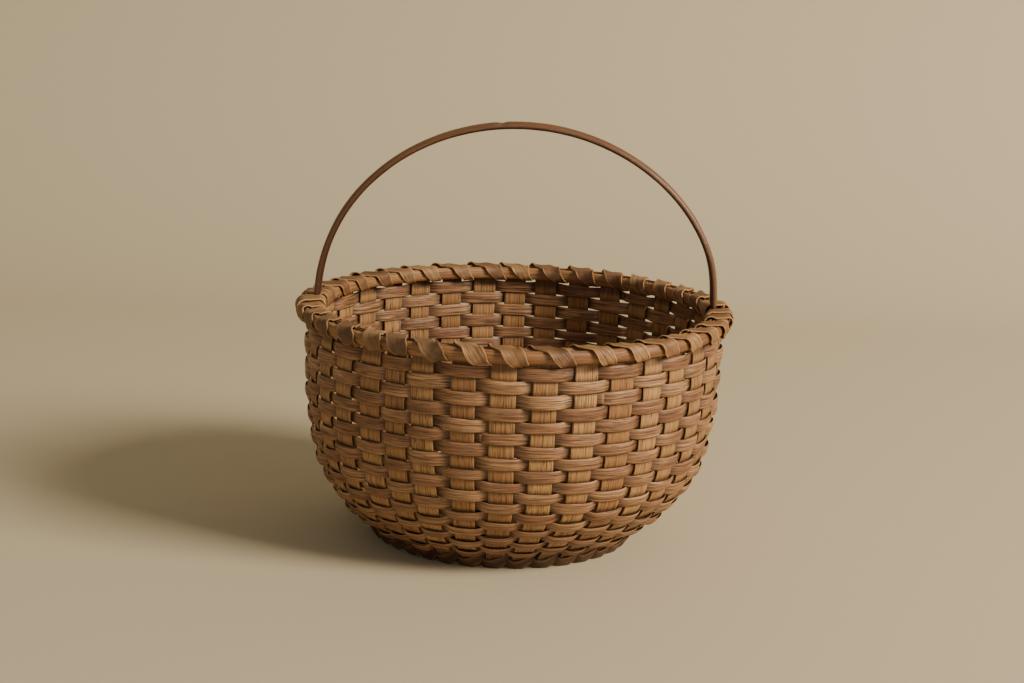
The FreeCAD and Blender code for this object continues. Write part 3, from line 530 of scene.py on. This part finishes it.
def uprightSplint(j):  # one splint: up the wall, under the base over the crossing, and up the wall opposite
    seed = upright["firstSeed"] + j
    half = np.append(np.arange(0, wallLength, upright["step"])[:-1], wallLength - upright["topInset"])
    s = np.concatenate([-half[:0:-1], half])
    ahead, way, q = s >= 0, np.where(s >= 0, 1.0, -1.0), np.abs(s)
    r, z, tr, tz = onWall(q)
    angle = np.where(ahead, uprightAngle(float(j), q), uprightAngle(float(j + 18), q) - np.pi)
    lift = stackLevel(j) * (1 - smooth((r - upright["waistRadius"]) / (upright["waistEnd"] - upright["waistRadius"])))
    if j % 2 == 1:
        fall = (r - upright["innerEnd"]) / (upright["common"] - upright["innerEnd"])
        lift = lift + upright["discGap"] * (1 - smooth(fall))
    radii = [0, upright["waistEnd"], upright["discRadius"], upright["footRadius"], upright["rimRadius"]]
    widths = [upright[key] for key in ("waistWide", "waistWide", "discWide", "footWide", "rimWide")]
    wide = np.interp(r, radii, widths)
    sizes = np.random.default_rng(seed).uniform(0.93, 1.07, 2)
    wide = (wide * np.where(ahead, sizes[0], sizes[1]) + 0.25 * lineNoise(s, 9.0, seed)
            + 0.12 * lineNoise(s, 2.6, seed + 50))
    thick = np.interp(r, [upright["waistRadius"], upright["waistEnd"]], [upright["waistThick"], upright["thick"]])
    push, cover = (np.where(ahead, a, b) for a, b in zip(pressed(j, q), pressed(j + 18, q)))
    a, b = uprightSection[:, 0], uprightSection[:, 1]
    # painted shade: each face is made darker where a row covers it, except near the top
    rowShade = np.where(b[None, :] > 0, smooth((cover + 0.50) / 0.7)[:, None], smooth((0.50 - cover) / 0.7)[:, None])
    rowShade = rowShade * (q < wallLength - upright["uncovered"])[:, None]
    cos, sin = np.cos(angle), np.sin(angle)
    normal = np.column_stack([tz * cos * way, tz * sin * way, -tr])
    middle = polar(r * way, angle, z + lift) + normal * push[:, None]
    across = np.column_stack([-sin, cos, np.zeros_like(sin)])
    # height = thick * b + raised fibres, curved to the basket's round where the splint stands upright
    curve = -(a[None, :] * wide[:, None] / 2) ** 2 / (2 * np.maximum(r, 60)[:, None]) * np.abs(tz)[:, None]
    height = (thick[:, None] * b[None, :]
              + raisedFibres(s, seed) * (1 - np.abs(a[None, :]) ** fibreLines["edgeFade"]) + curve)
    tones = np.random.default_rng(seed + 5).uniform(0.1, 0.9, 2)
    tone = np.where(ahead, tones[0], tones[1]) * 0.6 + 0.4 * (0.5 + 0.5 * lineNoise(s, 60.0, seed + 3))
    return makeTube(f"upright_{j + 1:02d}", layOut(middle, across, normal, wide / 2, a, height),
                    splintUv(s, wide / 2, uprightSection, seed * uvShift["along"], seed * uvShift["across"]),
                    {"edge": np.abs(a)[None, :] ** 6, "tone": tone, "paintedShade": rowShade})


for j in range(upright["splints"]):
    finishPiece(uprightSplint(j), uprightOak, "upright_oak", f"stake_splint_{j + 1:02d}")
print("uprights ready")

# side rows; the ones over a handle's tail stand in further there
tail = {"thick": 1.8, "share": 1.35, "length": 78.0, "above": 9.0, "reach": 0.55, "topEdge": 162.0}
tailTop = lengthAtHeight(tail["topEdge"])


def tailRoom(place):  # how much further in a row goes at both legs of the handle
    if not tailTop - tail["length"] - tail["above"] < place < tailTop:
        return None
    return lambda t: tail["thick"] * tail["share"] * sum(
        np.exp(-(((t % 36) - leg) / tail["reach"]) ** 4) for leg in (0, 36, 18))


for i in range(weave["rows"]):
    sign = 1 if i % 2 == 0 else -1
    piece = wovenRow(f"weaver_{i + 1:02d}", lambda t, i=i: edgeLine(i + 1, t), lambda t, i=i: edgeLine(i, t), sign,
                     (weave["firstStart"] + weave["startStep"] * i) % wall["uprights"], 900 + 7 * i,
                     extraIn=tailRoom(rowMiddles[i]) if sign < 0 else None)
    finishPiece(piece, weaverOak, "weaver_oak", f"side_row_{i + 1:02d}")
underHoops = {"height": 166.5, "half": 3.8, "start": 7, "outReach": 1.45, "inReach": 1.35}
rimMiddle = lengthAtHeight(underHoops["height"])
piece = wovenRow("weaver_under_hoops", level(rimMiddle - underHoops["half"]), level(rimMiddle + underHoops["half"]),
                 -1, underHoops["start"], 1300, lapped=False, outReach=underHoops["outReach"],
                 inReach=underHoops["inReach"])
finishPiece(piece, weaverOak, "weaver_oak", "rim_row")
print("side rows ready")

# base rows: three round all the uprights at the base's edge, then those of the outer and the inner disc
base = {"edgeRadius": 74.0, "edgeGap": 0.4, "edgePitch": 4.9, "edgeRows": 3, "edgeReach": 1.45, "edgeStep": 13,
        "discStart": 26.2, "discPitch": 5.6, "discReach": 1.4, "discStep": 5, "outerRows": 7, "innerRows": 6}


def rowBetween(name, start, pitch, i, sign, firstUpright, seed, reach, **rest):  # the i-th row of a flat part
    return wovenRow(name, level(start + pitch * i), level(start + pitch * (i + 1)), sign, firstUpright, seed,
                    outReach=reach, inReach=reach, **rest)


edgeStart = lengthAtRadius(base["edgeRadius"]) + base["edgeGap"]
piece = joinPieces("base_edge_weavers", [
    rowBetween(f"be{i}", edgeStart, base["edgePitch"], i, 1 if i % 2 == 0 else -1, 3 + base["edgeStep"] * i, 1400 + i,
               base["edgeReach"]) for i in range(base["edgeRows"])])
finishPiece(piece, weaverOak, "weaver_oak", "base_edge_rows")
for name, rows, lift, first, flip in (("outer_base", base["outerRows"], 0.0, 0.0, 0),
                                      ("inner_base", base["innerRows"], upright["discGap"], turn, 1)):
    piece = joinPieces(f"{name}_weavers", [
        rowBetween(f"bd{i}", base["discStart"], base["discPitch"], i, 1 if (i + flip) % 2 == 0 else -1,
                   base["discStep"] * i, 1500 + 20 * flip + i, base["discReach"], count=18, firstAngle=first,
                   lift=lift) for i in range(rows)])
    finishPiece(piece, weaverOak, "weaver_oak", f"{name}_rows")
print("base ready")

# foot: two strands twisted round each other, half a turn from upright to upright
foot = {"line": 98.63, "reach": 1.76, "insideClimb": 2.4, "outsideClimb": -3.4, "rise": 3.1, "wide": 9.8,
        "pinch": 9.0, "insideWide": 5.0, "thick": 1.0, "perUpright": 18, "start": 0.53, "end": 36.47, "floor": 0.02}


def footStrand(which):  # offset in and out as a flattened cosine, climb up and down as a sine, so it twists
    sign = 1 - 2 * which
    n = foot["perUpright"] * wall["uprights"]
    t = np.linspace(foot["start"] + which * 18, foot["end"] + which * 18, n)
    outside = sign * np.cos(np.pi * t)
    share = (1 + outside) / 2
    climb = (foot["insideClimb"] + (foot["outsideClimb"] - foot["insideClimb"]) * share
             + sign * foot["rise"] * np.sin(np.pi * t))
    r, z, tr, tz = onWall(foot["line"])
    offset = (sign * foot["reach"] * wave(t)
              + np.maximum(outside, 0) ** 2 * (0.5 + 0.3 * lineNoise(t, 1.0, 61 + which)))
    angle = uprightAngle(t, np.full(n, foot["line"]))
    middle, across, normal = stationFrame(r + tr * climb, z + tz * climb, np.full(n, tr), np.full(n, tz), angle,
                                          offset)
    wide = foot["pinch"] + (np.where(outside > 0, foot["wide"], foot["insideWide"]) - foot["pinch"]) * outside ** 2
    wide = wide * (1 + 0.05 * lineNoise(t, 0.8, 71 + which))
    tone = np.clip(0.3 + 0.35 * lineNoise(t, 2.0, 81 + which), 0, 1)
    # painted shade: the passes inside the uprights are made darker
    piece = sweepStrip(f"foot_strand_{'ab'[which]}", middle, across, normal, wide / 2, np.full(n, foot["thick"]),
                       flatSection, {"tone": tone, "paintedShade": 1 - share}, 7 + which)
    # flat where it would reach below the ground
    co = np.empty(len(piece.data.vertices) * 3)
    piece.data.vertices.foreach_get("co", co)
    co[2::3] = np.maximum(co[2::3], foot["floor"] * mm)
    piece.data.vertices.foreach_set("co", co)
    return piece


for which in (0, 1):
    finishPiece(footStrand(which), footOak, "foot_oak", f"foot_strand_{'ab'[which]}")
print("foot ready")

# rim: an outer and an inner hoop, flat against the uprights and rounded away from them, with lapped ends
rim = {"outer": 155.6, "outerFlat": 151.3, "innerFlat": 144.1, "inner": 140.2, "top": wall["rimTop"], "height": 9.0,
       "lap": 34.0, "stations": 720, "tip": 0.2, "lapGap": 0.3, "rough": 0.16, "meanRadius": 150.0,
       "outerLapAt": 40.0, "innerLapAt": 230.0, "fillerStations": 260,
       "fillerRadius": 145.2, "fillerThick": 1.2, "fillerTall": 7.0, "fillerDrop": 0.6, "fillerGap": 8.2}
hoopSection = np.array([(0.0, -0.96), (0.06, -1.0), (0.4, -1.0), (0.66, -0.88), (0.86, -0.68), (0.98, -0.34),
                        (1.0, 0.0), (0.98, 0.34), (0.86, 0.68), (0.66, 0.88), (0.4, 1.0), (0.06, 1.0), (0.0, 0.96),
                        (0.0, 0.0)])


def hoop(name, flatRadius, roundRadius, firstAngle, seed):
    # radius = flat side + thickness * share; the share is thinned to a tip at both ends, which lie over each other
    lap = rim["lap"] / roundRadius
    around = np.linspace(0, 2 * np.pi + lap, rim["stations"])
    thick = roundRadius - flatRadius
    step = rim["tip"] + rim["lapGap"] / abs(thick)
    afterStart, afterEnd = around / lap, (around - 2 * np.pi) / lap
    slant = 1 - rim["tip"] - step
    low = 1 - rim["tip"] - slant * np.minimum(afterStart, 1) - step * smooth((afterStart - 1) / 0.4)
    high = 1 - step * smooth((afterEnd + 0.4) / 0.4) - slant * np.maximum(afterEnd, 0)
    share = low[:, None] + (high - low)[:, None] * hoopSection[None, :, 0]
    roundness = np.maximum(np.interp(share, [0, 0.4, 0.66, 0.86, 0.98, 1.0], [1, 1, 0.88, 0.68, 0.34, 0.0]), 0.3)
    b = np.clip(hoopSection[None, :, 1], -roundness, roundness)
    angle = firstAngle + around
    length = angle * rim["meanRadius"]
    rough = rim["rough"] * np.stack([lineNoise(length, 22.0, seed + k) for k in range(len(hoopSection))], 1)
    r = flatRadius + thick * share + rough * np.sign(thick) * (hoopSection[None, :, 0] > 0.3)
    z = rim["top"] - rim["height"] / 2 * (1 - b * (1 + 0.012 * lineNoise(length, 40.0, seed + 40)[:, None]))
    points = np.stack([r * np.cos(angle)[:, None], r * np.sin(angle)[:, None], z], -1)
    ring = runAlong(hoopSection * (abs(thick), rim["height"] / 2))
    uv = np.column_stack([np.repeat(angle * roundRadius, len(ring)) + seed * 31.0, np.tile(ring, len(angle))])
    return makeTube(name, points, uv, {"tone": 0.5 + 0.5 * lineNoise(length, 130.0, seed + 60)})


outerHoop = hoop("outer_rim_hoop", rim["outerFlat"], rim["outer"], math.radians(rim["outerLapAt"]), 3)
finishPiece(outerHoop, hoopOak, "hoop_oak", "outer_hoop")
innerHoop = hoop("inner_rim_hoop", rim["innerFlat"], rim["inner"], math.radians(rim["innerLapAt"]), 11)
finishPiece(innerHoop, hoopOak, "hoop_oak", "inner_hoop")


def filler(k):  # a thin splint that fills the groove between the hoops from one leg of the handle to the other
    gap = rim["fillerGap"] / rim["fillerRadius"]
    n = rim["fillerStations"]
    angle = np.linspace(math.pi * k + gap, math.pi * (k + 1) - gap, n)
    tall = rim["fillerTall"] / 2
    top = rim["top"] - rim["fillerDrop"] + 0.35 * lineNoise(angle * 145, 17.0, 210 + k)
    middle = polar(rim["fillerRadius"] + 0.25 * lineNoise(angle * 145, 23.0, 220 + k), angle, top - tall)
    return sweepStrip(f"filler{k}", middle, np.tile([0, 0, 1.0], (n, 1)), polar(1.0, angle, 0 * angle),
                      np.full(n, tall), np.full(n, rim["fillerThick"]), flatSection, {"tone": 0.5}, 21 + k)


finishPiece(joinPieces("rim_filler_splints", [filler(0), filler(1)]), hoopOak, "hoop_oak", "rim_filler")
print("hoops ready")

# lashing: a thin grooved splint wound round both hoops, once between each two uprights
lash = {"thick": 0.95, "under": 7.4, "over": 13.4, "stand": 0.30, "corner": 2.9, "straight": 0.13, "perWrap": 44,
        "grooves": 12, "grooveDeep": 0.20, "lift": 0.65, "bulge": 0.55, "wraps": 17, "below": 8.0, "trim": 0.02,
        "drift": 0.11, "dome": 0.35, "greyAt": 225.0, "greyReach": 28.0, "grey": 0.5}
middleR, middleZ = (rim["outer"] + rim["inner"]) / 2, rim["top"] - rim["height"] / 2
halfR, halfZ = (rim["outer"] - rim["inner"]) / 2, rim["height"] / 2
acrossLash = np.linspace(-1, 1, 2 * lash["grooves"] + 1)
lashSection = facingPair(acrossLash, 0.5 + 0 * acrossLash, -0.5 + 0 * acrossLash)


def roundedBox(share, hr, hz, corner):
    # point and outward normal by share of the way round, from under the middle and inwards
    fr, fz, quarter = hr - corner, hz - corner, np.linspace(0, math.pi / 2, 200)
    path = [(0.0, -hz)]
    for cx, cz, start in ((-fr, -fz, -math.pi / 2), (-fr, fz, math.pi), (fr, fz, math.pi / 2), (fr, -fz, 0.0)):
        path += [(cx + corner * math.cos(start - q), cz + corner * math.sin(start - q)) for q in quarter]
    path = np.array(path + [(0.0, -hz)])
    run = runAlong(path)
    place = (share % 1.0) * run[-1]

    def at(where):
        return np.interp(where, run, path[:, 0]), np.interp(where, run, path[:, 1])

    (aheadX, aheadZ), (behindX, behindZ) = at((place + 0.05) % run[-1]), at((place - 0.05) % run[-1])
    dx, dz = aheadX - behindX, aheadZ - behindZ
    size = np.hypot(dx, dz)
    return *at(place), -dz / size, dx / size


def ribbonLash(name, u, angle, stand, wide, seed, lift, bulge):
    # a thin splint round both hoops: u counts wraps and angle is its place round the rim
    # height = thick * b + cosine grooves + one edge curled up by lift - a low dome
    whole = np.floor(u).astype(int)
    share = u - whole
    x, z, nx, nz = roundedBox(share, halfR + stand, halfZ + stand, lash["corner"] + stand)
    swell = bulge * np.sin(np.pi * np.clip((share - 0.12) / 0.80, 0, 1)) ** 2
    middle = polar(middleR + (x + nx * swell), angle, middleZ + (z + nz * swell))
    normal = np.column_stack([nx * np.cos(angle), nx * np.sin(angle), nz])
    tangent = np.gradient(middle, axis=0)
    tangent /= np.linalg.norm(tangent, axis=1)[:, None]
    across = np.cross(tangent, normal)
    across /= np.linalg.norm(across, axis=1)[:, None]
    a, b = lashSection[:, 0], lashSection[:, 1]
    groove = np.cos(a[None, :] * np.pi * lash["grooves"]) * lash["grooveDeep"] * (b > 0)[None, :]
    groove = groove * (0.6 + 0.4 * np.stack([lineNoise(u * 60, 11.0, seed * 13 + k) for k in range(len(a))], 1))
    curl = lift[:, None] * np.clip((a[None, :] + 0.1) / 1.1, 0, 1) ** 2
    height = lash["thick"] * b[None, :] + groove + curl - lash["dome"] * a[None, :] ** 2
    points = layOut(middle, across, normal, wide / 2, a, height)
    tones = np.random.default_rng(seed).uniform(0.05, 0.95, 64)
    # weathered grey at the front left of the rim
    weathered = np.abs((np.degrees(angle) + 360) % 360 - lash["greyAt"]) < lash["greyReach"]
    greys = weathered * lash["grey"] * smooth((share - 0.3) / 0.3)
    return makeTube(name, points, splintUv(runAlong(middle), wide / 2, lashSection, seed * uvShift["along"], 0.0),
                    {"edge": np.clip((np.abs(a) - 0.86) / 0.14, 0, 1)[None, :], "tone": tones[whole % 64],
                     "grey": greys})


def wind(name, firstGap, seed):  # half the rim's lashing: each wrap with its own slip, width, curl and bulge
    wraps, straight = lash["wraps"], lash["straight"]
    u = np.clip(np.arange(wraps * lash["perWrap"] + 1) / lash["perWrap"], lash["trim"], wraps - lash["trim"])
    drift = np.random.default_rng(seed).uniform(-lash["drift"], lash["drift"], wraps + 1)
    widths = np.random.default_rng(seed + 1).uniform(0.84, 1.10, wraps + 1)
    lifts = np.clip(np.random.default_rng(seed + 2).uniform(-0.5, 1.3, wraps + 1), 0, 1)
    bulges = np.random.default_rng(seed + 3).uniform(0.05, 0.6, wraps + 1)
    whole = np.floor(u).astype(int)
    share = u - whole
    advance = np.clip((share - straight) / (1 - 2 * straight), 0, 1)
    slip = drift[whole] * (1 - share) + drift[np.minimum(whole + 1, wraps)] * share
    angle = uprightAngle(firstGap + 0.5 + whole + advance + slip, np.full(len(u), wallLength - lash["below"]))
    over = smooth((share - 0.18) / 0.2) * (1 - smooth((share - 0.72) / 0.2))
    wide = (lash["under"] + (lash["over"] - lash["under"]) * over) * (1 + (widths[whole] - 1) * over)
    return ribbonLash(name, u, angle, lash["stand"] + lash["thick"] / 2, wide, seed,
                      lash["lift"] * lifts[whole] * over, lash["bulge"] * bulges[whole])


finishPiece(wind("rim_lashing_back", 0, 31), lashOak, "lashing_oak", "rim_lashing_back")
finishPiece(wind("rim_lashing_front", 18, 47), lashOak, "lashing_oak", "rim_lashing_front")

# the bindings: a band each side of each leg of the handle, one of them wide and bulging
bind = {"stand": 1.85, "perWrap": 70, "wide": 10.5, "bigWide": 15.0, "lean": 3.0, "apart": 5.2, "lift": 0.25,
        "bulge": 0.5, "bigBulge": 1.7}


def band(side, k, centre, seed):
    u = np.linspace(0.001, 0.999, bind["perWrap"])
    big = side == "left" and k == 1
    over = smooth((u - 0.15) / 0.2) * (1 - smooth((u - 0.75) / 0.2))
    wide = (bind["bigWide"] if big else bind["wide"]) * (0.8 + 0.25 * over)
    return ribbonLash(f"band{side}{k}", u, centre + math.radians(bind["lean"]) * np.sin(np.pi * (u - 0.5)),
                      bind["stand"], wide, seed + k, np.full(len(u), bind["lift"]),
                      bind["bigBulge"] if big else bind["bulge"])


for side, legAngle, seed in (("right", 0.0, 58), ("left", math.pi, 73)):
    bands = [band(side, k, legAngle + way * math.radians(bind["apart"]), seed) for k, way in enumerate((-1, 1))]
    finishPiece(joinPieces(f"handle_binding_{side}", bands), lashOak, "lashing_oak", f"handle_binding_{side}")
print("lashing ready")

# handle: one bent bow, shouldered at the rim and thinned to a tail down inside the wall
bow = {"wide": 13.0, "thick": 4.9, "rise": 133.5, "span": 146.6, "stations": 420, "tailStations": 60,
       "shoulder": 5.6, "neck": 0.45, "tailThick": 1.7, "tailWide": 10.6, "tailEnd": 7.8, "tailStand": 0.95,
       "overRim": 4.0, "slipFrom": 3.0, "slipRun": 9.0, "uprightFrom": 161.0, "uprightTo": 172.0,
       "nick": 0.9, "nickAt": -14.0, "nickReach": 2.6, "nickAbove": 250.0, "sway": 0.6, "swayFrom": 175.0,
       "swayRun": 30.0, "neckRun": 6.0}
bowSection = np.array([(-1.0, -0.20), (-0.94, -0.36), (-0.62, -0.5), (0.0, -0.5), (0.62, -0.5), (0.94, -0.36),
                       (1.0, -0.20), (1.0, 0.12), (0.90, 0.30), (0.52, 0.46), (0.0, 0.52), (-0.52, 0.46),
                       (-0.90, 0.30), (-1.0, 0.12)])


def legStation(s):  # x, height, width, outward x and z, and thickness at s along the wall, on the right leg
    r, z, tr, tz = onWall(s)
    below = tailTop - s
    if below <= 0:
        thick = bow["thick"] * bow["neck"]
        x = bow["span"] - (thick if bow["uprightFrom"] < z < bow["uprightTo"] else bow["thick"] + 0.4) / 2
        return x, z, bow["wide"], 1.0, 0.0, thick
    slip = smooth((below - bow["slipFrom"]) / bow["slipRun"])
    neck = bow["shoulder"] * 0.5
    thick = neck + (bow["tailThick"] - neck) * slip
    stand = (r - bow["span"]) * (1 - slip) + bow["tailStand"] * slip + thick / 2
    outX, outZ = np.array([tz * slip + (1 - slip), -tr * slip]) / math.hypot(tz * slip + (1 - slip), tr * slip)
    x, z = r - outX * stand, z - outZ * stand
    if bow["uprightFrom"] < z < bow["uprightTo"]:
        x = bow["span"] - thick / 2
    wide = bow["tailWide"] + (bow["tailEnd"] - bow["tailWide"]) * smooth(below / tail["length"])
    return x, z, bow["wide"] + (wide - bow["wide"]) * slip, outX, outZ, thick


def handleBow():
    # left tail, half an ellipse over the basket, right tail; then height = thickness * b + shaved facets - a nick
    leg = np.array([legStation(s) for s in np.linspace(tailTop - tail["length"], tailTop + bow["overRim"],
                                                       bow["tailStations"])], float)
    left = leg * (-1, 1, 1, -1, 1, 1)
    half, rise = bow["span"] - bow["thick"] / 2, bow["rise"] - bow["thick"] / 2
    q = np.linspace(math.pi, 0, bow["stations"])
    out = np.column_stack([np.cos(q) * rise, np.sin(q) * half])
    out /= np.linalg.norm(out, axis=1)[:, None]
    neck = bow["neck"] + (1 - bow["neck"]) * smooth(rise * np.sin(q) / bow["neckRun"])
    arch = np.column_stack([half * np.cos(q), rim["top"] + rise * np.sin(q), np.full(len(q), bow["wide"]), out,
                            bow["thick"] * neck])
    every = np.vstack([left, arch, leg[::-1]])
    p, wide, out, thick = every[:, :2], every[:, 2], every[:, 3:5], every[:, 5]
    run = runAlong(p)
    a, b = bowSection[:, 0], bowSection[:, 1]
    wide = wide + 0.25 * lineNoise(run, 40.0, 91) + 0.1 * lineNoise(run, 12.0, 92)
    nick = bow["nick"] * np.exp(-((p[:, 0] - bow["nickAt"]) / bow["nickReach"]) ** 2) * (p[:, 1] > bow["nickAbove"])
    facets = np.stack([0.13 * lineNoise(run, 34.0, 300 + k) + 0.05 * lineNoise(run, 9.0, 330 + k)
                       for k in range(len(a))], 1)
    height = thick[:, None] * b[None, :] + facets * (thick[:, None] > 3) - nick[:, None] * (b > 0.2)[None, :]
    high = p[:, 1:2]
    sway = bow["sway"] * lineNoise(run, 120.0, 95)[:, None] * smooth((high - bow["swayFrom"]) / bow["swayRun"])
    y = wide[:, None] / 2 * a[None, :] + sway
    points = np.stack([p[:, 0:1] + out[:, 0:1] * height, y, high + out[:, 1:2] * height], -1)
    uv = np.column_stack([np.repeat(run, len(a)), np.tile(runAlong(bowSection * (6.5, 4.9)), len(run))])
    # painted light: the top and outer faces are made lighter as lit and the underside darker as painted shade; the
    # upper edges also take the paler edge colour
    tone = 0.35 + 0.3 * lineNoise(run, 60.0, 96)[:, None] + 0.35 * (b > 0.2)[None, :] - 0.25 * (b < -0.3)[None, :]
    return makeTube("bow_handle", points, uv, {"edge": ((np.abs(a) > 0.85) & (b > 0))[None, :],
                                               "tone": np.clip(tone, 0, 1)})


finishPiece(handleBow(), handleOak, "handle_oak", "handle")
print("handle ready")

# light: a warm key low at the right, a weak fill at the front, and a pale surround
lights = {
    "key": {"place": (3.3, -1.7, 2.3), "size": 1.5, "watts": 324.0, "colour": "#FFF1DC"},
    "fill": {"place": (-0.6, -2.6, 0.45), "size": 1.4, "watts": 9.0, "colour": "#FFF6EA"},
}
surround = {"colour": "#EFE9DD", "strength": 0.26}
aim = Vector((0, 0, 0.1))
for name, spec in lights.items():
    data = bpy.data.lights.new(name, "AREA")
    data.shape = "SQUARE"
    data.size = spec["size"]
    data.energy = spec["watts"]
    data.color = linear(spec["colour"])[:3]
    lamp = bpy.data.objects.new(name, data)
    bpy.context.collection.objects.link(lamp)
    spot = Vector(spec["place"])
    lamp.matrix_world = Matrix.Translation(spot) @ (aim - spot).to_track_quat("-Z", "Y").to_matrix().to_4x4()
world = bpy.data.worlds.new("studio")
world.use_nodes = True
world.node_tree.nodes["Background"].inputs["Color"].default_value = linear(surround["colour"])
world.node_tree.nodes["Background"].inputs["Strength"].default_value = surround["strength"]
bpy.context.scene.world = world

# floor and backdrop: one pale plaster-coloured sweep, a flat floor curving up into a wall behind
sweep = {"half": 3.0, "front": -2.6, "bendStart": 0.75, "bendRadius": 0.5, "top": 2.6, "colour": "#BBAF94",
         "rough": 0.9}
bend = np.linspace(0.1, math.pi / 2, 16)
profile = [(sweep["front"], 0.0), (sweep["bendStart"], 0.0)]
profile += [(sweep["bendStart"] + sweep["bendRadius"] * math.sin(q), sweep["bendRadius"] * (1 - math.cos(q)))
            for q in bend]
profile.append((sweep["bendStart"] + sweep["bendRadius"], sweep["top"]))
floorMesh = bpy.data.meshes.new("floor")
floorMesh.from_pydata([(x, y, z) for y, z in profile for x in (-sweep["half"], sweep["half"])], [],
                      [(2 * i, 2 * i + 1, 2 * i + 3, 2 * i + 2) for i in range(len(profile) - 1)])
floorMesh.polygons.foreach_set("use_smooth", np.full(len(floorMesh.polygons), True))
floorObject = bpy.data.objects.new("floor", floorMesh)
bpy.context.collection.objects.link(floorObject)
plaster = bpy.data.materials.new("pale-floor")
plaster.use_nodes = True
plaster.node_tree.nodes["Principled BSDF"].inputs["Base Color"].default_value = linear(sweep["colour"])
plaster.node_tree.nodes["Principled BSDF"].inputs["Roughness"].default_value = sweep["rough"]
floorMesh.materials.append(plaster)

left = sorted(set(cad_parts) - set(replaced))
print("CAD nodes still shown:", left)
print("pieces", len(replaced))
